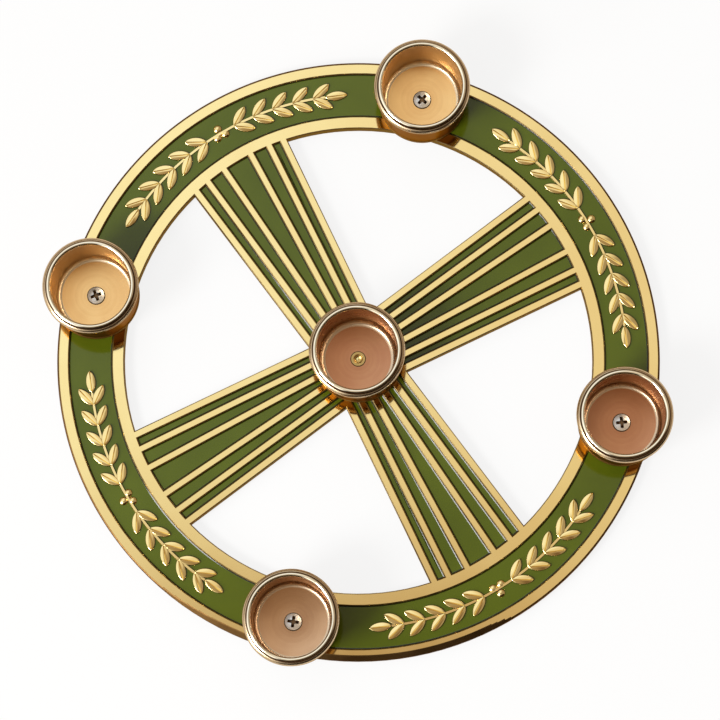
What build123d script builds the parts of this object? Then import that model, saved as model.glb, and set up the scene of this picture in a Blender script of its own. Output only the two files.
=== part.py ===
# Advent candle holder: an enamelled ring on a cross of flaring rays, carrying five candle cups.
# Millimetres, +Z up, origin at the centre of the plate's flat back.
import math
import os

from build123d import *

# Plate
ring_outer_r = 89.0
ring_w = 19.8
plate_t = 4.5
outer_edge_r = 0.6
back_edge_r = 0.6
top_edge_break = 0.3

# Recesses that hold the enamel
outer_border_w = 3.45
inner_border_w = 3.6
recess_depth = 1.4
enamel_drop = 0.6
enamel_edge_gap = 0.02
seat_r = 11.6
hub_r = 11.6

# Rays of the cross: three channel widths, each at a distance near the hub and near the ring
near_distance = 20.0
far_distance = 66.0
centre_near_w = 2.2
centre_far_w = 6.7
middle_near_w = 2.1
middle_far_w = 3.85
side_near_w = 1.72
side_far_w = 2.3
rib_w = 2.1
edge_rib_w = 2.25

# Candle cups
cup_offset = 0.7
cup_h = 24.6
cup_bore_r = 11.6
cup_wall = 1.0
cup_floor_t = 0.9
cup_floor_fillet = 0.8
foot_out = 0.3
foot_h = 1.4
bead_out = 1.45
bead_h = 2.3
lip_h = 1.5
lip_wall = 1.4

# Screws of the four outer cups
screw_r = 1.5
shank_clearance = 0.05
screw_head_r = 2.45
screw_head_h = 0.9
screw_rim_h = 0.55
screw_tip_gap = 0.4
cross_reach = 1.8
cross_w = 0.95
cross_low_reach = 0.8
cross_low_w = 0.5
cross_depth = 1.2
screw_turns_deg = (20.0, 62.0, 35.0, 5.0)

# Rivet of the centre cup
rivet_r = 1.4
collar_r = 2.05
collar_h = 0.3
dome_r = 1.4
dome_h = 0.55
tail_r = 2.5
tail_h = 1.1
tail_gap = 0.2

# Sizes that follow
ring_inner_r = ring_outer_r - ring_w
recess_outer_r = ring_outer_r - outer_border_w
recess_inner_r = ring_inner_r + inner_border_w
recess_z = plate_t - recess_depth
mouth_z = plate_t - top_edge_break
enamel_t = recess_depth - enamel_drop
ray_end = (ring_inner_r + recess_inner_r) / 2
cup_pitch_r = (ring_outer_r + ring_inner_r) / 2 + cup_offset
cup_body_r = cup_bore_r + cup_wall
lip_r = cup_bore_r + lip_wall
bead_r = cup_body_r + bead_out
foot_r = cup_body_r + foot_out
cup_floor_z = plate_t + cup_floor_t

# Sides by name, anticlockwise from +X: the cups on the axes, the rays half a step on
cup_names = ("e", "n", "w", "s")
ray_names = ("ne", "nw", "sw", "se")
side_step = 360 / len(cup_names)
cup_sides = {name: number * side_step for number, name in enumerate(cup_names)}
ray_sides = {name: (number + 0.5) * side_step for number, name in enumerate(ray_names)}


def at_distance(near_w, far_w, distance):
    """Width of a straight-sided tapering channel at a distance from the centre."""
    slope = (far_w - near_w) / (far_distance - near_distance)
    return near_w + slope * (distance - near_distance)


def ray_lines(distance):
    """Positions across a ray, from its middle outwards: channel and rib edges, then the ray's own edge."""
    centre_edge = at_distance(centre_near_w, centre_far_w, distance) / 2
    middle_from = centre_edge + rib_w
    middle_to = middle_from + at_distance(middle_near_w, middle_far_w, distance)
    side_from = middle_to + rib_w
    side_to = side_from + at_distance(side_near_w, side_far_w, distance)
    return [centre_edge, middle_from, middle_to, side_from, side_to, side_to + edge_rib_w]


def spans(distance):
    """The five channels of a ray as (from, to) positions across it."""
    c, m0, m1, s0, s1, _ = ray_lines(distance)
    return [(-s1, -s0), (-m1, -m0), (-c, c), (m0, m1), (s0, s1)]


def disc(radius, low, high):
    """An upright round block between two heights."""
    return Pos(0, 0, low) * Cylinder(radius, high - low, align=(Align.CENTER, Align.CENTER, Align.MIN))


def prism(points, low, high):
    """An upright block over a polygon."""
    return Pos(0, 0, low) * extrude(make_face(Polyline(*points, close=True)), high - low)


def lathe(lines):
    """A turned piece from an outline in the XZ plane."""
    return revolve(make_face(lines), axis=Axis.Z)


def turned(piece, angle):
    """A piece turned about the plate's axis."""
    return Rot(0, 0, angle) * piece


def crown(radius, low, high):
    """Half the outline of a shallow dome, from its edge to its top on the axis."""
    rise = high - low
    ball_r = (radius**2 + rise**2) / (2 * rise)
    half_way = math.asin(min(1.0, radius / ball_r)) / 2
    middle = (ball_r * math.sin(half_way), high - ball_r * (1 - math.cos(half_way)))
    return ThreePointArc((radius, low), middle, (0, high))


def ring_pockets(gap, low, high):
    """The ring's recess in the first quadrant, between two cup seats, as a list of one."""
    band = disc(recess_outer_r - gap, low, high) - disc(recess_inner_r + gap, low, high)
    quarter = Pos(ring_outer_r / 2, ring_outer_r / 2, low) * Box(
        ring_outer_r, ring_outer_r, high - low, align=(Align.CENTER, Align.CENTER, Align.MIN)
    )
    pocket = band & quarter
    for angle in (0, side_step):
        pocket -= turned(Pos(cup_pitch_r, 0, 0) * disc(seat_r + gap, low, high), angle)
    return [pocket.solids()[0]]


def ray_pockets(gap, low, high):
    """The five channels of the ray along +X."""
    zone = disc(ring_inner_r - gap, low, high) - disc(hub_r + gap, low, high)
    pockets = []
    for near, far in zip(spans(0), spans(ray_end)):
        points = [
            (0, near[0] + gap),
            (ray_end, far[0] + gap),
            (ray_end, far[1] - gap),
            (0, near[1] - gap),
        ]
        pocket = prism(points, low, high) & zone
        pockets.append(pocket.solids()[0])
    return pockets


def cutters(pockets, angle):
    """Recess blocks turned into place, each with a mouth that breaks the sharp edge around it."""
    floors = pockets(0, recess_z, mouth_z)
    mouths = pockets(-top_edge_break, recess_z, plate_t)
    blocks = []
    for floor, mouth in zip(floors, mouths):
        low_face = floor.faces().sort_by(Axis.Z)[-1]
        high_face = mouth.faces().sort_by(Axis.Z)[-1]
        blocks.append(turned(floor + loft([low_face, high_face], ruled=True), angle))
    return blocks


# Plate: ring and rays, rounded outside, recessed for the enamel
ring_solid = disc(ring_outer_r, 0, plate_t)
outer_edges = ring_solid.edges().filter_by(GeomType.CIRCLE).sort_by(Axis.Z)
ring_solid = fillet(outer_edges[-1], outer_edge_r)
outer_edges = ring_solid.edges().filter_by(GeomType.CIRCLE).sort_by(Axis.Z)
ring_solid = fillet(outer_edges[0], back_edge_r)
plate = ring_solid - disc(ring_inner_r, 0, plate_t)
half_hub = ray_lines(0)[-1]
half_end = ray_lines(ray_end)[-1]
ray_points = [
    (-ray_end, -half_end),
    (0, -half_hub),
    (ray_end, -half_end),
    (ray_end, half_end),
    (0, half_hub),
    (-ray_end, half_end),
]
for angle in (ray_sides["ne"], ray_sides["nw"]):
    plate += turned(prism(ray_points, 0, plate_t), angle)

top_face = plate.faces().filter_by(Axis.Z).sort_by(Axis.Z)[-1]
sharp_edges = [e for e in top_face.edges() if math.hypot((e @ 0.5).X, (e @ 0.5).Y) < recess_inner_r]
plate = chamfer(sharp_edges, top_edge_break)

for angle in cup_sides.values():
    for block in cutters(ring_pockets, angle):
        plate -= block
for angle in ray_sides.values():
    for block in cutters(ray_pockets, angle):
        plate -= block

screw_hole_r = screw_r + shank_clearance
rivet_hole_r = rivet_r + shank_clearance
for angle in cup_sides.values():
    plate -= turned(Pos(cup_pitch_r, 0, 0) * disc(screw_hole_r, 0, plate_t), angle)
plate -= disc(rivet_hole_r, 0, plate_t)
tail_top_z = tail_gap + tail_h
tail_slope = (tail_r - rivet_r) / tail_h
tail_seat = Polyline(
    (0, 0),
    (tail_r + tail_slope * tail_gap + shank_clearance, 0),
    (rivet_r + shank_clearance, tail_top_z),
    (0, tail_top_z),
    close=True,
)
plate -= lathe(Rot(90, 0, 0) * tail_seat)


def cup(hole_r):
    """One turned candle cup standing on the plate's top, on the Z axis."""
    top = plate_t + cup_h
    lip_round = lip_wall / 2
    groove_z = top - lip_h
    bead_low = groove_z - bead_h
    fillet_z = cup_floor_z + cup_floor_fillet
    corner = cup_floor_fillet * (1 - math.sqrt(0.5))
    outline = [
        Line((hole_r, plate_t), (cup_body_r, plate_t)),
        ThreePointArc((cup_body_r, plate_t), (foot_r, plate_t + foot_h / 2), (cup_body_r, plate_t + foot_h)),
        Line((cup_body_r, plate_t + foot_h), (cup_body_r, bead_low)),
        ThreePointArc((cup_body_r, bead_low), (bead_r, (bead_low + groove_z) / 2), (lip_r, groove_z)),
        Line((lip_r, groove_z), (lip_r, top - lip_round)),
        ThreePointArc((lip_r, top - lip_round), (lip_r - lip_round, top), (cup_bore_r, top - lip_round)),
        Line((cup_bore_r, top - lip_round), (cup_bore_r, fillet_z)),
        ThreePointArc(
            (cup_bore_r, fillet_z),
            (cup_bore_r - corner, cup_floor_z + corner),
            (cup_bore_r - cup_floor_fillet, cup_floor_z),
        ),
        Line((cup_bore_r - cup_floor_fillet, cup_floor_z), (hole_r, cup_floor_z)),
        Line((hole_r, cup_floor_z), (hole_r, plate_t)),
    ]
    return lathe(Rot(90, 0, 0) * Curve(outline))


def screw(turn):
    """A low pan-head screw with a cross recess, on the Z axis, holding a cup's floor to the plate."""
    rim_z = cup_floor_z + screw_rim_h
    crown_z = cup_floor_z + screw_head_h
    outline = [
        Line((0, screw_tip_gap), (screw_r, screw_tip_gap)),
        Line((screw_r, screw_tip_gap), (screw_r, cup_floor_z)),
        Line((screw_r, cup_floor_z), (screw_head_r, cup_floor_z)),
        Line((screw_head_r, cup_floor_z), (screw_head_r, rim_z)),
        crown(screw_head_r, rim_z, crown_z),
        Line((0, crown_z), (0, screw_tip_gap)),
    ]
    body = lathe(Rot(90, 0, 0) * Curve(outline))
    mouth = Pos(0, 0, crown_z) * Rectangle(2 * cross_reach, cross_w)
    heel = Pos(0, 0, crown_z - cross_depth) * Rectangle(2 * cross_low_reach, cross_low_w)
    slot = loft([heel.face(), mouth.face()], ruled=True)
    for angle in (turn, turn + 90):
        body -= Rot(0, 0, angle) * slot
    return body


def rivet():
    """A collared rivet with a small domed head, spread into the plate's back."""
    collar_z = cup_floor_z + collar_h
    outline = [
        Line((0, tail_gap), (tail_r, tail_gap)),
        Line((tail_r, tail_gap), (rivet_r, tail_top_z)),
        Line((rivet_r, tail_top_z), (rivet_r, cup_floor_z)),
        Line((rivet_r, cup_floor_z), (collar_r, cup_floor_z)),
        Line((collar_r, cup_floor_z), (collar_r, collar_z)),
        Line((collar_r, collar_z), (dome_r, collar_z)),
        crown(dome_r, collar_z, collar_z + dome_h),
        Line((0, collar_z + dome_h), (0, tail_gap)),
    ]
    return lathe(Rot(90, 0, 0) * Curve(outline))


# Pieces by name
pieces = {"base_plate": plate}
enamel_top = recess_z + enamel_t
for side, angle in ray_sides.items():
    arc = ring_pockets(enamel_edge_gap, recess_z, enamel_top)[0]
    pieces[f"ring_enamel_{side}"] = turned(arc, angle - ray_sides["ne"])
    for number, inlay in enumerate(ray_pockets(enamel_edge_gap, recess_z, enamel_top), start=1):
        pieces[f"ray_enamel_{side}_{number}"] = turned(inlay, angle)

screws = []
for (side, angle), turn in zip(cup_sides.items(), screw_turns_deg):
    place = Rot(0, 0, angle) * Pos(cup_pitch_r, 0, 0)
    pieces[f"candle_cup_{side}"] = place * cup(screw_hole_r)
    screws.append(place * screw(turn))
pieces["candle_cup_centre"] = cup(rivet_hole_r)
pieces["cup_screws"] = Compound(children=screws)
pieces["centre_rivet"] = rivet()

os.makedirs("parts", exist_ok=True)
for name, piece in pieces.items():
    piece.label = name
    export_step(piece, f"parts/{name}.step")
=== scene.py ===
"""Looks of a round advent candle holder: plate, enamel, turned cups, sprigs, studio and camera."""

import logging
import math
from dataclasses import dataclass, field
from enum import Enum, IntEnum
from typing import Any, Sequence

import bmesh
import bpy
from mathutils import Matrix, Vector
from mathutils.geometry import intersect_line_sphere_2d


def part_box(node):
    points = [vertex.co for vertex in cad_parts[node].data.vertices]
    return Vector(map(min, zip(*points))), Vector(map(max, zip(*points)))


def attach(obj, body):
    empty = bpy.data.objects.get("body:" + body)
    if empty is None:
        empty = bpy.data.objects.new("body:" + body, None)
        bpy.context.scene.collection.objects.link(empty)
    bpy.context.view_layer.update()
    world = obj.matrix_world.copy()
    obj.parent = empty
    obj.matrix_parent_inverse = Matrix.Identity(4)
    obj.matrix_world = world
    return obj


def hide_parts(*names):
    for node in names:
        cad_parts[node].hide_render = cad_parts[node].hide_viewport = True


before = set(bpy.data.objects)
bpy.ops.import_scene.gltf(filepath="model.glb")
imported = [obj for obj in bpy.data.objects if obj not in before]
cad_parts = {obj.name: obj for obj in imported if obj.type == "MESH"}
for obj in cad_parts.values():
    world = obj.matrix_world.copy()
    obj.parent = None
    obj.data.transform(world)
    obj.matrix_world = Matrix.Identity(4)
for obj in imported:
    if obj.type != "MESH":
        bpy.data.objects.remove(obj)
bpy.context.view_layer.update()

MM = 0.001
MERGE = 0.001 * MM
TOUCH = 0.002 * MM
ONE_PLANE = math.radians(0.2)
LEVEL = 0.9995
NOISE_MEAN = 0.5
FROM_AXIS = "from_axis"
Colour = tuple[float, float, float]
Point = tuple[float, float]
Place = tuple[float, float, float]
Shape = bmesh.types.BMesh
Material = bpy.types.Material
log = logging.getLogger("candle_holder")


class Slot(Enum):
    """Material slots of the record."""

    GOLD = "gold_plate"
    ENAMEL = "enamel"
    CUP = "cup_metal"
    SCREW = "screw_metal"
    RIVET = "rivet_metal"


class Corner(Enum):
    """The four diagonals of the plate, each with its direction in degrees."""

    NE = 45.0
    NW = 135.0
    SW = 225.0
    SE = 315.0


class Seat(Enum):
    """Where a candle cup stands, by the name of its node."""

    EAST = "candle_cup_e"
    NORTH = "candle_cup_n"
    WEST = "candle_cup_w"
    SOUTH = "candle_cup_s"
    CENTRE = "candle_cup_centre"


class CupZone(IntEnum):
    """The zones of a cup, each by the number of its finish."""

    BEAD = 0
    OUTER_WALL = 1
    BOWL = 2
    FLOOR = 3
    LIP = 4
    # Near-black painted shadow in the groove under the lip and round the fastener's seat.
    GROOVE = 5
    FOOT = 6


class Value:
    """A shader socket that takes part in Python arithmetic."""

    def __init__(self, tree: bpy.types.NodeTree, socket: bpy.types.NodeSocket) -> None:
        """Holds a socket and its tree."""
        self.tree = tree
        self.socket = socket

    def _maths(self, operation: str, first: Any, second: Any) -> "Value":
        """Adds one Math node.

        Args:
            operation: The Math node's operation.
            first: A value or a number.
            second: A value or a number.

        Returns:
            The node's result.
        """
        node = self.tree.nodes.new("ShaderNodeMath")
        node.operation = operation
        for slot, item in zip(node.inputs, (first, second)):
            if isinstance(item, Value):
                self.tree.links.new(item.socket, slot)
            else:
                slot.default_value = item
        return Value(self.tree, node.outputs[0])

    def __add__(self, other: Any) -> "Value":
        """Sum."""
        return self._maths("ADD", self, other)

    def __radd__(self, other: Any) -> "Value":
        """Sum, reflected."""
        return self._maths("ADD", other, self)

    def __sub__(self, other: Any) -> "Value":
        """Difference."""
        return self._maths("SUBTRACT", self, other)

    def __rsub__(self, other: Any) -> "Value":
        """Difference, reflected."""
        return self._maths("SUBTRACT", other, self)

    def __mul__(self, other: Any) -> "Value":
        """Product."""
        return self._maths("MULTIPLY", self, other)

    def __rmul__(self, other: Any) -> "Value":
        """Product, reflected."""
        return self._maths("MULTIPLY", other, self)

    def __or__(self, other: Any) -> "Value":
        """The larger of two values."""
        return self._maths("MAXIMUM", self, other)


class ShaderTree:
    """Adds nodes to a material or a world and links them."""

    def __init__(self, owner: bpy.types.ID) -> None:
        """Empties the owner's node tree.

        Args:
            owner: The material or world.
        """
        owner.use_nodes = True
        self.tree = owner.node_tree
        self.tree.nodes.clear()

    def node(
        self,
        kind: str,
        settings: dict[str, Any] | None = None,
        inputs: dict[str | int, Any] | None = None,
        output: str | int = 0,
    ) -> Value:
        """Adds one node.

        Args:
            kind: The node's type.
            settings: Properties of the node, set first; "stops" holds a ramp's positions and colours.
            inputs: Values or links by socket name or number.
            output: The output that is handed back.

        Returns:
            The chosen output.
        """
        made = self.tree.nodes.new(kind)
        for name, setting in (settings or {}).items():
            if name == "stops":
                self._stops(made.color_ramp, setting)
            else:
                setattr(made, name, setting)
        for name, item in (inputs or {}).items():
            if isinstance(item, Value):
                self.tree.links.new(item.socket, made.inputs[name])
            else:
                is_colour = made.inputs[name].type == "RGBA"
                made.inputs[name].default_value = (*item, 1.0) if is_colour else item
        if not made.outputs:
            return Value(self.tree, made.inputs[0])
        return Value(self.tree, made.outputs[output])

    @staticmethod
    def _stops(ramp: bpy.types.ColorRamp, stops: Sequence[tuple[float, Colour]]) -> None:
        """Gives a colour ramp its stops.

        Args:
            ramp: The ramp.
            stops: Positions and colours.
        """
        while len(ramp.elements) < len(stops):
            ramp.elements.new(0.5)
        for element, (position, colour) in zip(ramp.elements, stops):
            element.position = position
            element.color = (*colour, 1.0)

    def mix(self, factor: Any, first: Any, second: Any) -> Value:
        """Mixes two colours or links, by the share of the second."""
        inputs = {0: factor, 6: first, 7: second}
        return self.node("ShaderNodeMix", {"data_type": "RGBA"}, inputs, output=2)

    def vector(self, operation: str, first: Value, second: Any = None, output: str | int = 0) -> Value:
        """Adds one Vector Math node, for an operation on one vector or two."""
        inputs = {0: first} if second is None else {0: first, 1: second}
        return self.node("ShaderNodeVectorMath", {"operation": operation}, inputs, output)

    def place(self) -> Value:
        """Gives the place on the object."""
        return self.node("ShaderNodeTexCoord", output="Object")

    def part(self, vector: Value, number: int) -> Value:
        """Gives one part of a vector, 0 to 2 for X to Z."""
        return self.node("ShaderNodeSeparateXYZ", None, {0: vector}, number)

    def noise(self, place: Value, scale: float, detail: float = 2.0) -> Value:
        """Adds soft noise over a place, with a number of waves to a metre and of octaves."""
        inputs = {"Vector": place, "Scale": scale, "Detail": detail}
        return self.node("ShaderNodeTexNoise", None, inputs)

    def band(self, value: Value, low: float, high: float) -> Value:
        """Maps a span of a value to 0 to 1, smoothly."""
        inputs = {"Value": value, "From Min": low, "From Max": high}
        return self.node("ShaderNodeMapRange", {"interpolation_type": "SMOOTHSTEP"}, inputs)

    def bump(self, strength: float, depth: float, height: Value) -> Value:
        """Bends the normal by a share of a fine relief, its depth in metres."""
        inputs = {"Strength": strength, "Distance": depth, "Height": height}
        return self.node("ShaderNodeBump", None, inputs)


@dataclass(frozen=True)
class Finish:
    """A finish with one Principled surface."""

    name: str

    def material(self) -> Material:
        """Makes the finish's material.

        Returns:
            The material.
        """
        material = bpy.data.materials.new(self.name)
        shader = ShaderTree(material)
        look = shader.node("ShaderNodeBsdfPrincipled", None, self._sockets(shader))
        shader.node("ShaderNodeOutputMaterial", None, {"Surface": look})
        return material

    def _sockets(self, shader: ShaderTree) -> dict[str, Any]:
        """Gives the surface's sockets, as values or links."""
        raise NotImplementedError


@dataclass(frozen=True)
class GoldPlate(Finish):
    """Polished gold plate over a casting: bright on its faces; its steep walls and edges are painted dark
    brown, a painted shade standing in for the shadow and dark reflections there.
    """

    name: str = "polished_gold_plate"
    # Span of the normal's height over which the painted wall shade gives way to the face colour.
    wall_to_face: Point = (0.45, 0.97)
    face: Colour = (0.96, 0.77, 0.36)
    worn: Colour = (0.93, 0.73, 0.33)
    # Painted shade for steep faces, not a colour of the plating.
    wall: Colour = (0.16, 0.085, 0.03)
    graze: Colour = (0.8, 0.6, 0.3)
    roughness: float = 0.06
    wall_roughness: float = 0.5
    ripple: float = 0.05
    ripple_depth: float = 0.01 * MM
    ripple_scale: float = 500.0
    cloud_scale: float = 70.0
    cloud_ends: Point = (0.35, 0.65)
    cloud_polish: float = 0.05

    def _sockets(self, shader: ShaderTree) -> dict[str, Any]:
        """Gives the surface's sockets.

        Args:
            shader: The material's nodes.

        Returns:
            Values or links, by socket.
        """
        place = shader.place()
        normal = shader.node("ShaderNodeNewGeometry", output="Normal")
        # Share of the face colour by slope; the rest is painted wall shade.
        facing_up = shader.band(shader.part(normal, 2), *self.wall_to_face)
        polish = self.wall_roughness + (self.roughness - self.wall_roughness) * facing_up
        cloud = shader.noise(place, self.cloud_scale, detail=4.0)
        rubbed = shader.mix(shader.band(cloud, *self.cloud_ends), self.worn, self.face)
        waves = shader.noise(place, self.ripple_scale, detail=3.0)
        return {
            "Base Color": shader.mix(facing_up, self.wall, rubbed),
            "Metallic": 1.0,
            "Specular Tint": self.graze,
            "Roughness": polish + self.cloud_polish * (cloud - NOISE_MEAN),
            "Normal": shader.bump(self.ripple, self.ripple_depth, waves),
        }


@dataclass(frozen=True)
class Enamel(Finish):
    """Glossy olive enamel with a faintly uneven depth of colour."""

    name: str = "olive_enamel"
    light: Colour = (0.093, 0.124, 0.0055)
    dark: Colour = (0.076, 0.103, 0.0045)
    roughness: float = 0.07
    gloss: float = 0.32
    cloud_scale: float = 45.0
    cloud_ends: Point = (0.3, 0.7)
    wave: float = 0.1
    wave_depth: float = 0.1 * MM
    wave_scale: float = 130.0

    def _sockets(self, shader: ShaderTree) -> dict[str, Any]:
        """Gives the surface's sockets.

        Args:
            shader: The material's nodes.

        Returns:
            Values or links, by socket.
        """
        place = shader.place()
        cloud = shader.band(shader.noise(place, self.cloud_scale, detail=3.0), *self.cloud_ends)
        waves = shader.noise(place, self.wave_scale)
        return {
            "Base Color": shader.mix(cloud, self.dark, self.light),
            "Roughness": self.roughness,
            "Specular IOR Level": self.gloss,
            "Normal": shader.bump(self.wave, self.wave_depth, waves),
        }


@dataclass(frozen=True)
class CupMetal(Finish):
    """Plate on a turned cup, with the fine rings that the turning left."""

    colour: Colour
    shade: Colour
    roughness: float
    rings: float = 0.0
    graze: Colour = (1.0, 1.0, 1.0)
    ring_depth: float = 0.03 * MM
    ring_scale: float = 1100.0
    ring_share: float = 0.5
    cloud_scale: float = 90.0
    cloud_ends: Point = (0.3, 0.7)
    smear: float = 0.06
    smear_scale: float = 260.0

    def _sockets(self, shader: ShaderTree) -> dict[str, Any]:
        """Gives the surface's sockets.

        Args:
            shader: The material's nodes.

        Returns:
            Values or links, by socket.
        """
        place = shader.place()
        from_axis = shader.node("ShaderNodeAttribute", {"attribute_name": FROM_AXIS}, output="Fac")
        in_section = {"X": from_axis, "Z": shader.part(place, 2)}
        along_outline = shader.node("ShaderNodeCombineXYZ", None, in_section)
        turned = shader.noise(along_outline, self.ring_scale, detail=3.0)
        cloud = shader.noise(place, self.cloud_scale, detail=3.0)
        cloud = shader.band(cloud + self.ring_share * (turned - NOISE_MEAN), *self.cloud_ends)
        smears = shader.noise(place, self.smear_scale) - NOISE_MEAN
        return {
            "Base Color": shader.mix(cloud, self.shade, self.colour),
            "Metallic": 1.0,
            "Specular Tint": self.graze,
            "Roughness": self.roughness + self.smear * smears,
            "Normal": shader.bump(self.rings, self.ring_depth, turned),
        }


@dataclass(frozen=True)
class BrightMetal(Finish):
    """Plain plated metal of the screws and the rivet."""

    colour: Colour
    roughness: float
    grain: float = 0.1
    grain_scale: float = 900.0

    def _sockets(self, shader: ShaderTree) -> dict[str, Any]:
        """Gives the surface's sockets.

        Args:
            shader: The material's nodes.

        Returns:
            Values or links, by socket.
        """
        grains = shader.noise(shader.place(), self.grain_scale) - NOISE_MEAN
        return {
            "Base Color": self.colour,
            "Metallic": 1.0,
            "Roughness": self.roughness + self.grain * grains,
        }


def merged_copy(name: str, whole_faces: bool = True) -> Shape:
    """Copies a CAD node's mesh with its loose triangles merged.

    Args:
        name: The node.
        whole_faces: Joins triangles that lie in one plane.

    Returns:
        The copy.
    """
    shape = bmesh.new()
    shape.from_mesh(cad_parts[name].data)
    bmesh.ops.remove_doubles(shape, verts=shape.verts, dist=MERGE)
    if whole_faces:
        bmesh.ops.dissolve_limit(shape, angle_limit=ONE_PLANE, verts=shape.verts, edges=shape.edges)
    return shape


def make_piece(
    name: str,
    shape: Shape,
    materials: Sequence[Material],
    stands_for: Sequence[str] = (),
    crease: float | None = math.radians(32),
    flat_tops: bool = False,
) -> bpy.types.Object:
    """Turns a finished shape into a piece that rides on the holder.

    Args:
        name: The piece's name.
        shape: The shape, in place; it is freed.
        materials: The finishes, by face index.
        stands_for: CAD nodes that the piece replaces.
        crease: Edges sharper than this stay sharp; without it, the shape's own marks hold.
        flat_tops: Keeps level faces flat up to their edges.

    Returns:
        The piece.
    """
    mesh = bpy.data.meshes.new(name)
    shape.to_mesh(mesh)
    shape.free()
    if mesh.has_custom_normals:
        mesh.attributes.remove(mesh.attributes["custom_normal"])
    mesh.shade_smooth()
    if crease is not None:
        mesh.set_sharp_from_angle(angle=crease)
    if flat_tops:
        mesh.polygons.foreach_set("use_smooth", [abs(face.normal.z) < LEVEL for face in mesh.polygons])
    for material in materials:
        mesh.materials.append(material)
    piece = bpy.data.objects.new(name, mesh)
    bpy.context.scene.collection.objects.link(piece)
    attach(piece, "root")
    if stands_for:
        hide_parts(*stands_for)
    log.info("made %s", name)
    return piece


def ease(value: float, low: float, high: float) -> float:
    """Rises smoothly from 0 at a low value to 1 at a high one."""
    share = min(1.0, max(0.0, (value - low) / (high - low)))
    return share * share * (3 - 2 * share)


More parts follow.
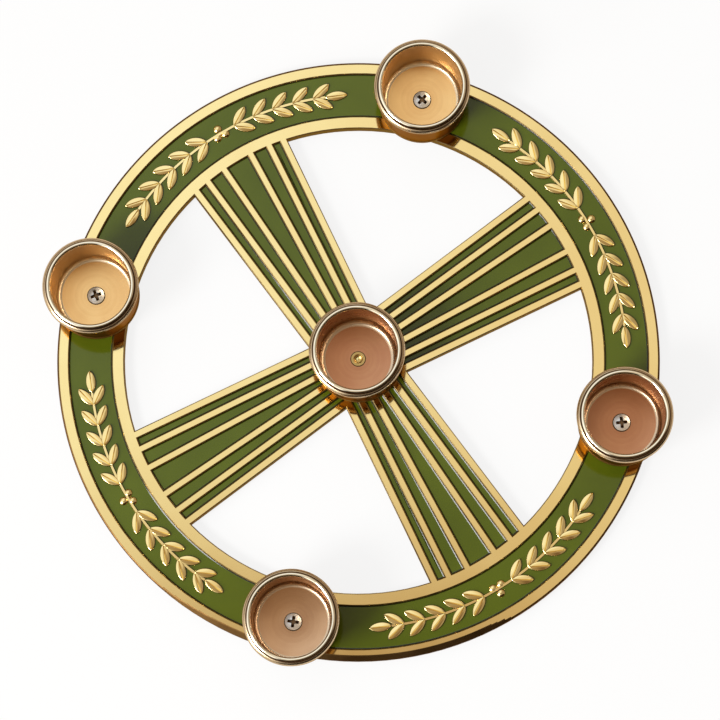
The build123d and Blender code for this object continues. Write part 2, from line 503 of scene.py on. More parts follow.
@dataclass
class PlateAndFields:
    """The gold plate with its enamel fields."""

    gold: Material
    # Dark finish of the outer edge: ground base metal and painted shade.
    edge_wear_and_shade: Material
    enamel: Material
    # Near-black enamel for the strips at the walls: painted shadow.
    enamel_edge_shadow: Material
    edge_r: float = 0.6 * MM
    back_edge_r: float = 0.6 * MM
    edge_rows: int = 6
    ground_w: float = 1.75 * MM
    ground_rest: float = 0.1 * MM
    ground_slope: float = math.radians(35)
    # Degrees round the axis, where the ground stretch fades in and out.
    ground_from: Point = (-126.0, -100.0)
    ground_to: Point = (-52.0, -42.0)
    border_rows: int = 5
    lip_rise: float = 0.195 * MM
    # Width and drop of each step of the enamel's climb, in millimetres, from the wall inward.
    lip_steps: tuple[Point, ...] = ((0.05, 0.06), (0.05, 0.025), (0.26, 0.09), (0.1, 0.02))
    # How many steps from the wall are painted dark: a painted shadow along the recess walls.
    shadowed_steps: int = 3
    corner: float = math.radians(30)
    least_slope: float = 0.1

    def dress(self) -> None:
        """Finishes the plate and fills its recesses."""
        self.cast()
        for name in sorted(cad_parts):
            if "enamel" in name:
                self.fill(name)

    def cast(self) -> None:
        """Makes the plate with a fine round on its outer edge, ground off more on one side."""
        shape = merged_copy("base_plate", whole_faces=False)
        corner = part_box("base_plate")[1]
        rim_r, top_z = corner.x, corner.z
        start_r = rim_r - self.ground_w
        self._cut_circle(shape, start_r, top_z)
        limit = start_r - TOUCH
        outside = [face for face in shape.faces if min(v.co.xy.length for v in face.verts) > limit]
        bmesh.ops.delete(shape, geom=outside, context="FACES")
        open_edges = [edge for edge in shape.edges if edge.is_boundary]
        upper = [edge for edge in open_edges if edge.verts[0].co.z > top_z / 2]
        lower = [edge for edge in open_edges if edge.verts[0].co.z < top_z / 2]
        flat_r = rim_r - self.edge_r
        for row in range(1, self.border_rows + 1):
            radius = start_r + (flat_r - start_r) * row / self.border_rows
            upper = self._next_row(shape, upper, radius, top_z)
        for out, drop in self._quarter_round(self.edge_r):
            upper = self._next_row(shape, upper, flat_r + out, top_z - drop)
        for out, rise in self._quarter_round(self.back_edge_r):
            lower = self._next_row(shape, lower, rim_r - self.back_edge_r + out, rise)
        bmesh.ops.bridge_loops(shape, edges=upper + lower)
        self._grind(shape, rim_r, top_z)
        bmesh.ops.recalc_face_normals(shape, faces=shape.faces)
        self._mark_edge(shape, start_r)
        # The outer edge takes the second finish: ground base metal and painted shade.
        finishes = [self.gold, self.edge_wear_and_shade]
        make_piece("base_plate_cast", shape, finishes, ["base_plate"], flat_tops=True)

    def _quarter_round(self, radius: float) -> list[Point]:
        """Gives each row of a quarter round by its way out from the start and off the start's level."""
        turns = [math.pi / 2 * row / self.edge_rows for row in range(1, self.edge_rows + 1)]
        return [(radius * math.sin(turn), radius * (1 - math.cos(turn))) for turn in turns]

    @staticmethod
    def _mark_edge(shape: Shape, start_r: float) -> None:
        """Gives the rounded and ground faces of the outer edge a dark brown finish: partly ground base
        metal, partly painted shade standing in for the dark reflections on the edge.

        Args:
            shape: The plate.
            start_r: Where the outer edge starts.
        """
        shape.normal_update()
        for face in shape.faces:
            on_edge = face.calc_center_median().xy.length > start_r
            face.material_index = int(on_edge and abs(face.normal.z) < LEVEL)

    @staticmethod
    def _cut_circle(shape: Shape, radius: float, height: float) -> None:
        """Cuts the faces at one height along a circle about the axis.

        Args:
            shape: The plate.
            radius: The circle's radius.
            height: The faces' height.
        """
        cuts = []
        for edge in shape.edges[:]:
            inner, outer = sorted(edge.verts, key=lambda vertex: vertex.co.xy.length)
            level = min(inner.co.z, outer.co.z) > height - TOUCH
            if level and inner.co.xy.length < radius < outer.co.xy.length:
                ends = (inner.co.xy, outer.co.xy)
                crossings = [p for p in intersect_line_sphere_2d(*ends, (0, 0), radius) if p]
                share = (crossings[0] - ends[0]).length / (ends[1] - ends[0]).length
                cuts.append(bmesh.utils.edge_split(edge, inner, share)[1])
        bmesh.ops.connect_verts(shape, verts=cuts)

    @staticmethod
    def _next_row(
        shape: Shape, loop: list[bmesh.types.BMEdge], radius: float, height: float
    ) -> list[bmesh.types.BMEdge]:
        """Extrudes a round loop of edges to a new radius and height.

        Args:
            shape: The plate.
            loop: The loop.
            radius: The new loop's radius.
            height: The new loop's height.

        Returns:
            The new loop.
        """
        old = loop[0].verts[0].co.copy()
        grown = bmesh.ops.extrude_edge_only(shape, edges=loop)["geom"]
        points = [item for item in grown if isinstance(item, bmesh.types.BMVert)]
        ratio = radius / old.xy.length
        bmesh.ops.scale(shape, vec=(ratio, ratio, 1), verts=points)
        bmesh.ops.translate(shape, vec=(0, 0, height - old.z), verts=points)
        return [item for item in grown if isinstance(item, bmesh.types.BMEdge) and item.is_boundary]

    def _grind(self, shape: Shape, rim_r: float, top_z: float) -> None:
        """Slopes the outer edge where it was ground off by hand.

        Args:
            shape: The plate.
            rim_r: The plate's radius.
            top_z: The height of its top.
        """
        for vertex in shape.verts:
            radius = vertex.co.xy.length
            if radius < rim_r - self.ground_w or vertex.co.z < top_z / 2:
                continue
            way = math.degrees(math.atan2(vertex.co.y, vertex.co.x))
            share = ease(way, *self.ground_from) * (1 - ease(way, *self.ground_to))
            starts = rim_r - share * (self.ground_w - self.ground_rest)
            drop = max(0.0, radius - starts) * math.tan(self.ground_slope)
            vertex.co.z = min(vertex.co.z, top_z - drop)

    def fill(self, name: str) -> None:
        """Makes one enamel field that climbs a little at the walls of its recess, with a painted shadow
        on its strips next to the walls.

        Args:
            name: The CAD node that it stands for.
        """
        shape = merged_copy(name)
        top = max(shape.faces, key=lambda face: face.calc_center_median().z)
        bmesh.ops.translate(shape, verts=top.verts, vec=(0, 0, self.lip_rise))
        for number, (width, drop) in enumerate(self.lip_steps):
            strip = bmesh.ops.inset_region(
                shape, faces=[top], thickness=width * MM, depth=-drop * MM, use_even_offset=True
            )
            for face in strip["faces"]:
                # Steps next to the wall get the painted edge shadow.
                face.material_index = int(number < self.shadowed_steps)
        self._mark_corners(shape)
        finishes = [self.enamel, self.enamel_edge_shadow]
        make_piece(f"{name}_fill", shape, finishes, [name], None, True)

    def _mark_corners(self, shape: Shape) -> None:
        """Keeps an enamel field's edges sharp where its outline turns a corner.

        Args:
            shape: The field.
        """
        shape.normal_update()
        for edge in shape.edges:
            first, second = (face.normal.xy for face in edge.link_faces)
            sloped = min(first.length, second.length) > self.least_slope
            edge.smooth = not sloped or first.angle(second) < self.corner


class HalfOutline:
    """Half the section of a turned piece, drawn in the XZ plane from point to point."""

    def __init__(self, start: Point) -> None:
        """Sets the first point.

        Args:
            start: Its radius and height.
        """
        self.shape = bmesh.new()
        self.first = self.shape.verts.new((start[0], 0, start[1]))
        self.tip = self.first

    def line(self, end: Point) -> None:
        """Draws a straight run.

        Args:
            end: Where it ends.
        """
        point = self.shape.verts.new((end[0], 0, end[1]))
        self.shape.edges.new((self.tip, point))
        self.tip = point

    def arc(self, middle: Point, end: Point, steps: int) -> None:
        """Draws an arc through three points, the first of them the last one drawn.

        Args:
            middle: A point on the way.
            end: Where it ends.
            steps: Its number of edges.
        """
        start = Vector((self.tip.co.x, self.tip.co.z))
        to_middle, to_end = Vector(middle) - start, Vector(end) - start
        twice_area = 2 * to_middle.cross(to_end)
        across = (to_middle * to_end.length_squared - to_end * to_middle.length_squared) / twice_area
        centre = start + Vector((-across.y, across.x))
        from_start, from_end = start - centre, Vector(end) - centre
        sweep = math.atan2(from_start.cross(from_end), from_start.dot(from_end))
        if sweep * twice_area < 0:
            sweep += math.copysign(math.tau, twice_area)
        swept = bmesh.ops.spin(
            self.shape,
            geom=[self.tip],
            cent=(centre.x, 0, centre.y),
            axis=(0, -1, 0),
            angle=sweep,
            steps=steps,
        )
        self.tip = next(item for item in swept["geom_last"] if isinstance(item, bmesh.types.BMVert))

    def turn(self, steps: int) -> Shape:
        """Closes the outline and spins it about the axis.

        Args:
            steps: Faces to a full turn.

        Returns:
            The turned shape.
        """
        self.shape.edges.new((self.tip, self.first))
        bmesh.ops.spin(
            self.shape,
            geom=self.shape.verts[:] + self.shape.edges[:],
            cent=(0, 0, 0),
            axis=(0, 0, 1),
            angle=math.tau,
            steps=steps,
            use_merge=True,
        )
        bmesh.ops.remove_doubles(self.shape, verts=self.shape.verts, dist=MERGE)
        bmesh.ops.recalc_face_normals(self.shape, faces=self.shape.faces)
        return self.shape


@dataclass
class CandleCup:
    """One turned candle cup: foot, plain wall, bead, groove, round lip and a dished floor."""

    seat: Seat
    finishes: dict[CupZone, Material]
    bore_r: float = 11.6 * MM
    wall: float = 1.0 * MM
    floor: float = 0.9 * MM
    floor_round: float = 1.5 * MM
    centre_floor_round: float = 1.9 * MM
    floor_dish: float = 0.24 * MM
    screw_hole_r: float = 1.55 * MM
    screw_seat_r: float = 2.72 * MM
    rivet_hole_r: float = 1.45 * MM
    rivet_seat_r: float = 2.3 * MM
    foot_out: float = 0.3 * MM
    foot_h: float = 1.4 * MM
    bead_out: float = 1.45 * MM
    bead_h: float = 2.3 * MM
    lip_h: float = 1.5 * MM
    lip_wall: float = 1.4 * MM
    groove_in: float = 0.22 * MM
    groove_out: float = 0.12 * MM
    bead_share: float = 0.55
    slack: float = 0.09 * MM
    foot_steps: int = 12
    bead_steps: int = 20
    lip_steps: int = 18
    round_steps: int = 14
    dish_steps: int = 10
    steps: int = 288
    body_r: float = field(init=False)
    base_z: float = field(init=False)
    top_z: float = field(init=False)
    floor_z: float = field(init=False)
    hole_r: float = field(init=False)
    seat_r: float = field(init=False)

    def __post_init__(self) -> None:
        """Takes the cup's heights from its node, and its hole and seat from its fastener."""
        low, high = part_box(self.seat.value)
        self.body_r = self.bore_r + self.wall
        self.base_z, self.top_z = low.z, high.z
        self.floor_z = low.z + self.floor
        self.hole_r, self.seat_r = self.screw_hole_r, self.screw_seat_r
        if self.seat is Seat.CENTRE:
            self.hole_r, self.seat_r = self.rivet_hole_r, self.rivet_seat_r
            self.floor_round = self.centre_floor_round

    def build(self) -> bpy.types.Object:
        """Turns the cup where its node is.

        Returns:
            The piece.
        """
        shape = self._outline().turn(self.steps)
        self._mark(shape)
        low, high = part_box(self.seat.value)
        centre = (low + high) / 2
        bmesh.ops.translate(shape, verts=shape.verts, vec=(centre.x, centre.y, 0))
        materials = [self.finishes[zone] for zone in CupZone]
        return make_piece(f"{self.seat.value}_turned", shape, materials, [self.seat.value])

    def _outline(self) -> HalfOutline:
        """Draws half the cup's section.

        Returns:
            The outline, still open.
        """
        body_r, bore_r = self.body_r, self.bore_r
        lip_r = bore_r + self.lip_wall
        lip_round = self.lip_wall / 2
        groove_z = self.top_z - self.lip_h
        bead_low = groove_z - self.bead_h
        crest_z = self.top_z - lip_round
        edge_z = self.floor_z + self.floor_dish
        floor_r = bore_r - self.floor_round
        corner = self.floor_round * (1 - math.sqrt(0.5))
        half_r = (floor_r + self.seat_r) / 2
        # Half-way in, a shallow dish is a quarter as high as at its edge.
        half_z = self.floor_z + self.floor_dish / 4
        outline = HalfOutline((self.hole_r, self.base_z))
        outline.line((body_r, self.base_z))
        foot_middle = (body_r + self.foot_out, self.base_z + self.foot_h / 2)
        outline.arc(foot_middle, (body_r, self.base_z + self.foot_h), self.foot_steps)
        outline.line((body_r, bead_low))
        bead_middle = (body_r + self.bead_out, (bead_low + groove_z) / 2)
        outline.arc(bead_middle, (lip_r, groove_z), self.bead_steps)
        outline.line((lip_r, crest_z))
        outline.arc((lip_r - lip_round, self.top_z), (bore_r, crest_z), self.lip_steps)
        outline.line((bore_r, edge_z + self.floor_round))
        outline.arc((bore_r - corner, edge_z + corner), (floor_r, edge_z), self.round_steps)
        outline.arc((half_r, half_z), (self.seat_r, self.floor_z), self.dish_steps)
        outline.line((self.hole_r, self.floor_z))
        return outline

    def _mark(self, shape: Shape) -> None:
        """Gives each face its zone's finish and each point its distance from the axis.

        Args:
            shape: The turned cup, still on the axis.
        """
        layer = shape.verts.layers.float.new(FROM_AXIS)
        for vertex in shape.verts:
            vertex[layer] = vertex.co.xy.length
        for face in shape.faces:
            middle = face.calc_center_median()
            face.material_index = self._zone(middle.xy.length, middle.z)

    def _zone(self, radius: float, height: float) -> CupZone:
        """Finds the zone of a face.

        Args:
            radius: How far its middle lies from the axis.
            height: How high its middle lies.

        Returns:
            The zone; the bead's for what is hidden under the cup.
        """
        groove_z = self.top_z - self.lip_h
        off_lip = radius - self.bore_r - self.lip_wall
        in_groove = -self.groove_in < off_lip < self.groove_out
        # The groove under the lip gets a painted shadow.
        if in_groove and height > groove_z - self.bead_h / 2:
            return CupZone.GROOVE
        if height > groove_z and radius > self.bore_r:
            return CupZone.LIP
        if radius > self.body_r - self.slack:
            if height < self.base_z + self.foot_h:
                return CupZone.FOOT
            below_bead = height < groove_z - self.bead_share * self.bead_h
            return CupZone.OUTER_WALL if below_bead else CupZone.BEAD
        if height < self.floor_z - self.slack or radius > self.bore_r + self.slack:
            return CupZone.BEAD
        # A ring of painted shadow round the fastener's seat.
        if radius < self.seat_r:
            return CupZone.GROOVE
        return CupZone.FLOOR if radius < self.bore_r - self.floor_round else CupZone.BOWL


@dataclass
class RingSprig:
    """A raised evergreen sprig on one quarter of the ring: stem, paired leaves and berries."""

    corner: Corner
    gold: Material
    stem_r: float = 79.2 * MM
    stem_w: float = 1.1 * MM
    stem_drop: float = 0.12 * MM
    leaf_l: float = 6.6 * MM
    leaf_w: float = 2.8 * MM
    leaf_tilt: float = math.radians(34)
    leaf_edge: float = 0.2 * MM
    vein_w: float = 0.34 * MM
    vein_depth: float = 0.25 * MM
    vein_ends: Point = (0.16, 0.84)
    pairs: int = 5
    first_pair: float = math.radians(3.4)
    pitch: float = math.radians(4.5)
    berry_r: float = 1.3 * MM
    sunk: float = 0.15 * MM
    tip_back: float = 0.4
    stem_crown: float = 0.6
    stem_steps: int = 48
    leaf_sides: int = 24
    leaf_point: float = 0.35
    leaf_edge_rows: int = 3
    berry_step: float = 1.18
    berry_sides: int = 24
    berry_rows: int = 16
    base_z: float = field(init=False)
    top_z: float = field(init=False)

    def __post_init__(self) -> None:
        """Takes the sprig's heights from the enamel under it and from the plate."""
        self.base_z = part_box(f"ring_enamel_{self.corner.name.lower()}")[1].z - self.sunk
        self.top_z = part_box("base_plate")[1].z

    def build(self) -> bpy.types.Object:
        """Lays the sprig on the enamel.

        Returns:
            The piece.
        """
        shape = bmesh.new()
        reach = self.first_pair + (self.pairs - self.tip_back) * self.pitch
        self._stem(shape, reach)
        for way in (1, -1):
            for number in range(self.pairs):
                along = way * (self.first_pair + number * self.pitch)
                for tilt in (self.leaf_tilt, -self.leaf_tilt):
                    self._leaf(shape, along, way, tilt)
            self._leaf(shape, way * reach, way, 0.0)
        self._berries(shape)
        turn = Matrix.Rotation(math.radians(self.corner.value), 3, "Z")
        bmesh.ops.rotate(shape, verts=shape.verts, cent=(0, 0, 0), matrix=turn)
        return make_piece(f"ring_sprig_{self.corner.name.lower()}", shape, [self.gold])

    @staticmethod
    def _add(shape: Shape, part: Shape, place: Matrix) -> None:
        """Moves a part into place and joins it to the sprig.

        Args:
            shape: The sprig so far.
            part: The part, freed here.
            place: Where it goes.
        """
        bmesh.ops.transform(part, matrix=place, verts=part.verts)
        bmesh.ops.recalc_face_normals(part, faces=part.faces)
        holder = bpy.data.meshes.new("sprig_part")
        part.to_mesh(holder)
        part.free()
        shape.from_mesh(holder)
        bpy.data.meshes.remove(holder)

    def _stem(self, shape: Shape, reach: float) -> None:
        """Spins the stem along the ring.

        Args:
            shape: The sprig so far.
            reach: How far it goes to each side of the middle, in radians.
        """
        part = bmesh.new()
        half = self.stem_w / 2
        crown = self.stem_crown * half
        crown_z = self.top_z - self.stem_drop
        profile = ((-half, self.base_z), (-crown, crown_z), (crown, crown_z), (half, self.base_z))
        corners = [part.verts.new((self.stem_r + across, 0, height)) for across, height in profile]
        part.faces.new(corners)
        to_start = Matrix.Rotation(-reach, 3, "Z")
        bmesh.ops.rotate(part, verts=part.verts, cent=(0, 0, 0), matrix=to_start)
        bmesh.ops.spin(
            part,
            geom=part.faces[:],
            cent=(0, 0, 0),
            axis=(0, 0, 1),
            angle=2 * reach,
            steps=self.stem_steps,
        )
        self._add(shape, part, Matrix.Identity(4))

    def _leaf(self, shape: Shape, along: float, way: int, tilt: float) -> None:
        """Adds one flat pointed leaf with an incised vein.

        Args:
            shape: The sprig so far.
            along: Its place on the stem, in radians from the middle.
            way: 1 or -1, the way that this half of the sprig grows.
            tilt: Its lean off the stem, in radians.
        """
        part = bmesh.new()
        bmesh.ops.create_circle(part, cap_ends=True, segments=self.leaf_sides, radius=1.0)
        for vertex in part.verts:
            vertex.co.y *= abs(vertex.co.y) ** self.leaf_point
        bmesh.ops.scale(part, vec=(self.leaf_l / 2, self.leaf_w / 2, 1), verts=part.verts)
        bmesh.ops.translate(part, vec=(self.leaf_l / 2, 0, self.base_z), verts=part.verts)
        raised = bmesh.ops.extrude_face_region(part, geom=part.faces[:])
        lifted = [item for item in raised["geom"] if isinstance(item, bmesh.types.BMVert)]
        bmesh.ops.translate(part, vec=(0, 0, self.top_z - self.base_z), verts=lifted)
        rim = [edge for edge in part.edges if all(vertex in lifted for vertex in edge.verts)]
        bmesh.ops.bevel(
            part,
            geom=rim,
            offset=self.leaf_edge,
            affect="EDGES",
            segments=self.leaf_edge_rows,
            profile=0.5,
            material=-1,
        )
        self._vein(part)
        heading = math.pi / 2 if way > 0 else -math.pi / 2
        turn = Matrix.Rotation(heading + way * tilt, 4, "Z")
        onto_stem = Matrix.Translation((self.stem_r, 0, 0)) @ turn
        self._add(shape, part, Matrix.Rotation(along, 4, "Z") @ onto_stem)

    def _vein(self, part: Shape) -> None:
        """Cuts a fine groove along a leaf.

        Args:
            part: The leaf, lying along X.
        """
        starts, ends = (share * self.leaf_l for share in self.vein_ends)
        half = self.vein_w / 2
        cuts = [((0, across, 0), (0, 1, 0)) for across in (-half, 0, half)]
        cuts += [((along, 0, 0), (1, 0, 0)) for along in (starts, ends)]
        for place, facing in cuts:
            everything = part.verts[:] + part.edges[:] + part.faces[:]
            bmesh.ops.bisect_plane(part, geom=everything, plane_co=place, plane_no=facing)
        for vertex in part.verts:
            on_line = abs(vertex.co.y) < TOUCH and starts - TOUCH < vertex.co.x < ends + TOUCH
            if on_line and vertex.co.z > self.top_z - TOUCH:
                vertex.co.z -= self.vein_depth

    def _berries(self, shape: Shape) -> None:
        """Adds three low berries where the two halves meet.

        Args:
            shape: The sprig so far.
        """
        step = self.berry_step * self.berry_r
        sides, rows = self.berry_sides, self.berry_rows
        for turn in (0, math.tau / 3, -math.tau / 3):
            part = bmesh.new()
            bmesh.ops.create_uvsphere(part, u_segments=sides, v_segments=rows, radius=1.0)
            low = (self.berry_r, self.berry_r, self.top_z - self.base_z)
            bmesh.ops.scale(part, vec=low, verts=part.verts)
            centre = (self.stem_r + step * math.cos(turn), step * math.sin(turn), self.base_z)
            self._add(shape, part, Matrix.Translation(centre))


@dataclass
class Fasteners:
    """The screws in the outer cups and the rivet in the centre cup."""

    screw: Material
    # Dark finish of the cross recess: painted shadow.
    recess: Material
    rivet: Material
    # The collar's darker gold is painted shade.
    collar: Material
    dome_r: float = 1.4 * MM
    recess_r: float = 1.85 * MM
    recess_depth: float = 1.25 * MM
    least_level: float = 0.8
    crease: float = math.radians(25)

    def dress(self) -> None:
        """Makes the screws and the rivet with even shading."""
        screws = merged_copy("cup_screws")
        self._mark_recess(screws)
        finishes = [self.screw, self.recess]
        make_piece("cup_screws_bright", screws, finishes, ["cup_screws"], self.crease)
        rivet = merged_copy("centre_rivet")
        for face in rivet.faces:
            # Faces beyond the dome form the collar, a darker copy of the rivet's gold: painted shade.
            face.material_index = int(max(v.co.xy.length for v in face.verts) > self.dome_r + TOUCH)
        finishes = [self.rivet, self.collar]
        make_piece("centre_rivet_bright", rivet, finishes, ["centre_rivet"], self.crease)

    def _mark_recess(self, screws: Shape) -> None:
        """Gives the cross recess of each screw a dark finish: painted shadow in the recess.

        Args:
            screws: The four screws.
        """
        crown_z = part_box("cup_screws")[1].z
        axes = [sum(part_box(seat.value), Vector()).xy / 2 for seat in Seat]
        screws.normal_update()
        for face in screws.faces:
            middle = face.calc_center_median()
            near = min((middle.xy - axis).length for axis in axes) < self.recess_r
            within = near and middle.z > crown_z - self.recess_depth
            low = middle.z < crown_z - self.recess_depth / 2
            face.material_index = int(within and (low or face.normal.z < self.least_level))


@dataclass(frozen=True)
class Softbox:
    """A square lamp that faces the holder, in metres and watts."""

    name: str
    place: Place
    power: float
    size: float = 0.5

    def hang(self) -> None:
        """Hangs the lamp in the scene."""
        data = bpy.data.lights.new(self.name, "AREA")
        data.shape = "SQUARE"
        data.size = self.size
        data.energy = self.power
        lamp = bpy.data.objects.new(self.name, data)
        lamp.location = self.place
        lamp.rotation_euler = Vector(self.place).to_track_quat("Z", "Y").to_euler()
        bpy.context.scene.collection.objects.link(lamp)


@dataclass
class Studio:
    """A pale floor under a bright ceiling, with a dark side, a dim patch round the lens and softboxes."""

    floor_half: float = 3.0
    floor_tone: Colour = (0.92, 0.92, 0.92)
    floor_glow: float = 0.85
    left_tone: Colour = (1.05, 1.1, 1.13)
    right_tone: Colour = (0.88, 0.81, 0.69)
    left_to_right: Point = (-0.12, 0.02)
    far_tone: Colour = (0.42, 0.35, 0.27)
    right_to_far: Point = (0.02, 0.15)
    low_tone: Colour = (0.36, 0.27, 0.18)
    low_height: Point = (0.5, 0.82)
    side_way: Place = (-0.656, -0.755, 0.0)
    side_tone: Colour = (1.3, 1.25, 1.15)
    side_spread: Point = (math.cos(math.radians(42)), math.cos(math.radians(24)))
    side_height: Point = (0.8, 0.93)
    side_foot: Point = (0.12, 0.32)
    dark_way: Place = (0.663, -0.749, 0.0)
    dark_tone: Colour = (0.03, 0.018, 0.008)
    dark_spread: Point = (math.cos(math.radians(56)), math.cos(math.radians(42)))
    dark_height: Point = (0.8, 0.92)
    lens_way: Place = (0.0, -0.12, 0.993)
    lens_reach: float = 0.5
    lens_stops: tuple[tuple[float, Colour], ...] = (
        (0.24, (0.44, 0.35, 0.26)),
        (0.33, (0.48, 0.36, 0.26)),
        (0.35, (0.6, 0.49, 0.39)),
        (0.37, (0.7, 0.61, 0.52)),
        (0.39, (0.8, 0.73, 0.65)),
        (0.44, (0.94, 0.92, 0.88)),
        (0.5, (1.0, 1.0, 1.0)),
    )
    lamps: tuple[Softbox, ...] = (
        Softbox("key_softbox", (-0.75, -0.86, 1.36), 17.0),
        Softbox("side_softbox", (-1.14, -1.22, 0.67), 7.0),
    )

    def build(self) -> None:
        """Sets up floor, sky and lamps."""
        self._floor()
        self._sky()
        for lamp in self.lamps:
            lamp.hang()
        bpy.context.scene.view_settings.view_transform = "Standard"

    def _floor(self) -> None:
        """Lays a plain floor that looks nearly white and keeps a faint shadow."""
        shape = bmesh.new()
        bmesh.ops.create_grid(shape, x_segments=1, y_segments=1, size=self.floor_half)
        mesh = bpy.data.meshes.new("floor")
        shape.to_mesh(mesh)
        shape.free()
        material = bpy.data.materials.new("pale_floor")
        shader = ShaderTree(material)
        lit = shader.node("ShaderNodeBsdfDiffuse", None, {"Color": self.floor_tone})
        white = shader.node("ShaderNodeEmission", None, {"Strength": 1.0})
        rays = ("Is Camera Ray", "Is Glossy Ray", "Is Transmission Ray")
        camera, glossy, through = (shader.node("ShaderNodeLightPath", output=ray) for ray in rays)
        seen = self.floor_glow * (camera | glossy | through)
        mixed = shader.node("ShaderNodeMixShader", None, {0: seen, 1: lit, 2: white})
        shader.node("ShaderNodeOutputMaterial", None, {"Surface": mixed})
        mesh.materials.append(material)
        floor = bpy.data.objects.new("floor", mesh)
        bpy.context.scene.collection.objects.link(floor)

    def _sky(self) -> None:
        """Gives the light of the room, by direction."""
        world = bpy.data.worlds.new("studio_sky")
        bpy.context.scene.world = world
        shader = ShaderTree(world)
        way = shader.node("ShaderNodeTexCoord", output="Generated")
        across, height = shader.part(way, 0), shader.part(way, 2)
        ceiling = shader.mix(shader.band(across, *self.left_to_right), self.left_tone, self.right_tone)
        ceiling = shader.mix(shader.band(across, *self.right_to_far), ceiling, self.far_tone)
        room = shader.mix(shader.band(height, *self.low_height), self.low_tone, ceiling)
        around = shader.vector("NORMALIZE", shader.vector("MULTIPLY", way, (1, 1, 0)))
        to_side = shader.vector("DOT_PRODUCT", around, self.side_way, "Value")
        bright = shader.band(to_side, *self.side_spread) * (1 - shader.band(height, *self.side_height))
        bright = bright * shader.band(height, *self.side_foot)
        to_dark = shader.vector("DOT_PRODUCT", around, self.dark_way, "Value")
        dark = shader.band(to_dark, *self.dark_spread) * (1 - shader.band(height, *self.dark_height))
        room = shader.mix(dark, shader.mix(bright, room, self.side_tone), self.dark_tone)
        off_lens = shader.vector("DISTANCE", way, self.lens_way, "Value")
        ramp = {"stops": self.lens_stops}
        lens = shader.node("ShaderNodeValToRGB", ramp, {"Fac": (1 / self.lens_reach) * off_lens})
        tone = shader.vector("MULTIPLY", room, lens)
        sky = shader.node("ShaderNodeBackground", None, {"Color": tone})
        shader.node("ShaderNodeOutputWorld", None, {"Surface": sky})


@dataclass
class StudioCamera:
    """A long lens that looks down on the holder, a little off its axis."""

    tilt: float = math.radians(-7.01)
    lean: float = math.radians(-0.87)
    turn: float = math.radians(-13.78)
    distance: float = 1235.7 * MM
    off_x: float = -0.53 * MM
    off_y: float = 0.19 * MM
    lens: float = 209.3
    sensor: float = 36.0

    def build(self) -> None:
        """Sets the scene's camera."""
        data = bpy.data.cameras.new("camera")
        data.lens = self.lens
        data.sensor_width = self.sensor
        camera = bpy.data.objects.new("camera", data)
        facing = (
            Matrix.Rotation(self.tilt, 3, "X")
            @ Matrix.Rotation(self.lean, 3, "Y")
            @ Matrix.Rotation(self.turn, 3, "Z")
        )
        plate_top = Vector((0, 0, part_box("base_plate")[1].z))
        place = facing.transposed() @ Vector((-self.off_x, -self.off_y, self.distance)) + plate_top
        camera.matrix_world = Matrix.Translation(place) @ facing.transposed().to_4x4()
        bpy.context.scene.collection.objects.link(camera)
        bpy.context.scene.camera = camera


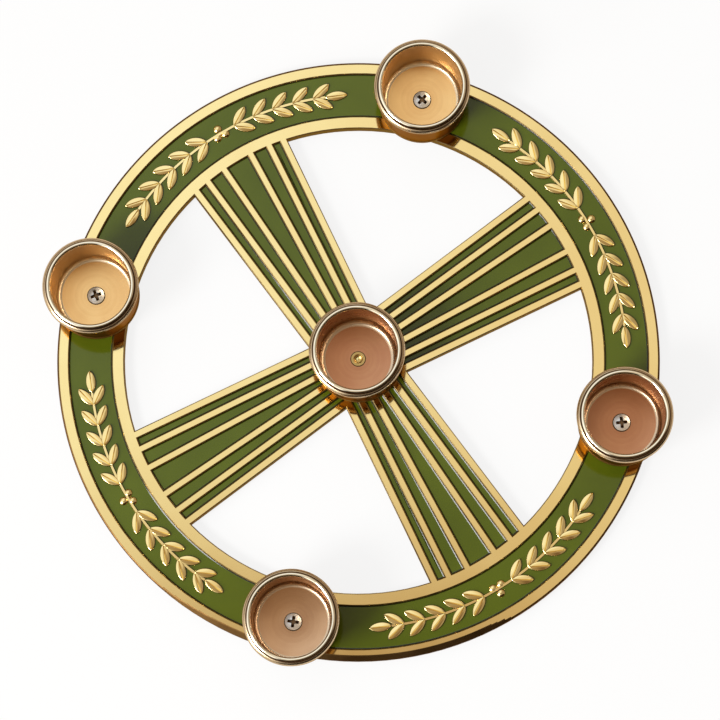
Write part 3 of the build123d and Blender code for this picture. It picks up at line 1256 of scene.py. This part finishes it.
def cup_finishes() -> dict[Seat, dict[CupZone, Material]]:
    """Makes the cups' finishes as lit and shaded copies of one metal: painted highlight on the lip,
    painted shade on bead, wall and foot, and painted light and shade in bowls and floors that differ from
    cup to cup.

    Returns:
        The finishes of each cup, by zone.
    """
    # Brown tint of grazing reflections on the zones painted as shade.
    brown = (0.5, 0.3, 0.15)
    # One metal, painted lighter or darker by zone: the lip as painted highlight, the bead, wall and foot
    # as painted shade.
    painted_zones = {
        CupZone.LIP: CupMetal(
            "lip_painted_highlight", (0.99, 0.91, 0.74), (0.96, 0.87, 0.68), roughness=0.05
        ),
        # Near-black: painted shadow in the groove and round the seat.
        CupZone.GROOVE: CupMetal(
            "groove_painted_shadow", (0.1, 0.065, 0.035), (0.07, 0.045, 0.025), roughness=0.3, graze=brown
        ),
        CupZone.BEAD: CupMetal(
            "bead_painted_shade",
            (0.68, 0.52, 0.34),
            (0.6, 0.45, 0.28),
            roughness=0.24,
            graze=(0.6, 0.42, 0.24),
        ),
        CupZone.OUTER_WALL: CupMetal(
            "wall_painted_shade",
            (0.38, 0.2, 0.055),
            (0.31, 0.155, 0.04),
            roughness=0.32,
            rings=0.03,
            graze=brown,
        ),
        CupZone.FOOT: CupMetal(
            "foot_painted_shade", (0.3, 0.16, 0.045), (0.25, 0.13, 0.035), roughness=0.55, graze=brown
        ),
    }
    shared = {zone: finish.material() for zone, finish in painted_zones.items()}
    # Bowls painted lighter or darker from cup to cup: painted light and shade.
    darker_painted_bowl = CupMetal(
        "darker_painted_bowl",
        (0.7, 0.53, 0.37),
        (0.64, 0.47, 0.32),
        roughness=0.28,
        rings=0.08,
        graze=(0.76, 0.59, 0.44),
    ).material()
    lighter_painted_bowl = CupMetal(
        "lighter_painted_bowl",
        (0.84, 0.68, 0.47),
        (0.78, 0.61, 0.41),
        roughness=0.32,
        rings=0.08,
        graze=(0.84, 0.7, 0.53),
    ).material()
    # Floors painted lighter or darker from cup to cup: painted light and shade.
    floor_painted_tones = {
        "floor_painted_light": ((0.86, 0.54, 0.23), (0.8, 0.47, 0.19)),
        "floor_painted_half_shade": ((0.62, 0.38, 0.22), (0.56, 0.33, 0.19)),
        "floor_painted_shade": ((0.52, 0.25, 0.13), (0.47, 0.21, 0.11)),
    }
    floors = [CupMetal(name, *tints, roughness=0.16, rings=0.08) for name, tints in floor_painted_tones.items()]
    pale, tan, ruddy = (floor.material() for floor in floors)
    # Which cups get the lighter and which the darker painted bowls and floors.
    insides = {
        Seat.NORTH: (lighter_painted_bowl, pale),
        Seat.WEST: (lighter_painted_bowl, pale),
        Seat.SOUTH: (darker_painted_bowl, tan),
        Seat.EAST: (darker_painted_bowl, ruddy),
        Seat.CENTRE: (darker_painted_bowl, ruddy),
    }
    finishes = {}
    for seat, (bowl, floor) in insides.items():
        finishes[seat] = {**shared, CupZone.BOWL: bowl, CupZone.FLOOR: floor}
    return finishes


def main() -> None:
    """Dresses the holder and sets the studio."""
    logging.basicConfig(level=logging.INFO, format="%(name)s: %(message)s")
    gold = GoldPlate().material()
    # Dark brown for the outer edge: ground base metal, and painted shade for its dark reflections.
    edge_wear_and_shade = GoldPlate(
        "edge_wear_and_shade_plate",
        face=(0.2, 0.11, 0.038),
        worn=(0.12, 0.062, 0.02),
        graze=(0.5, 0.3, 0.15),
        roughness=0.4,
        wall_roughness=0.4,
    ).material()
    enamel = Enamel().material()
    # Near-black enamel along the walls: painted shadow and dark reflection where the enamel meets the
    # gold.
    edge_shadow_tints = ((0.022, 0.022, 0.003), (0.015, 0.016, 0.002))
    enamel_edge_shadow = Enamel("enamel_edge_shadow", *edge_shadow_tints).material()
    PlateAndFields(gold, edge_wear_and_shade, enamel, enamel_edge_shadow).dress()
    for seat, finishes in cup_finishes().items():
        CandleCup(seat, finishes).build()
    # Sprig sides get the painted wall shade only where they are steep.
    sprig_gold = GoldPlate("sprig_gold_plate", wall_to_face=(0.1, 0.7), wall_roughness=0.06).material()
    for corner in Corner:
        RingSprig(corner, sprig_gold).build()
    screw = BrightMetal("bright_zinc", (0.98, 0.97, 0.95), roughness=0.36).material()
    # Dark brown in the cross recess: painted shadow.
    recess = BrightMetal("recess_painted_shadow", (0.22, 0.14, 0.08), roughness=0.4).material()
    rivet = BrightMetal("gold_rivet", (1.0, 0.88, 0.42), roughness=0.25).material()
    # Darker copy of the rivet's gold for its collar: painted shade.
    collar = BrightMetal("rivet_collar_painted_shade", (0.6, 0.42, 0.16), roughness=0.25).material()
    Fasteners(screw, recess, rivet, collar).dress()
    Studio().build()
    StudioCamera().build()


if __name__ == "__main__":
    main()
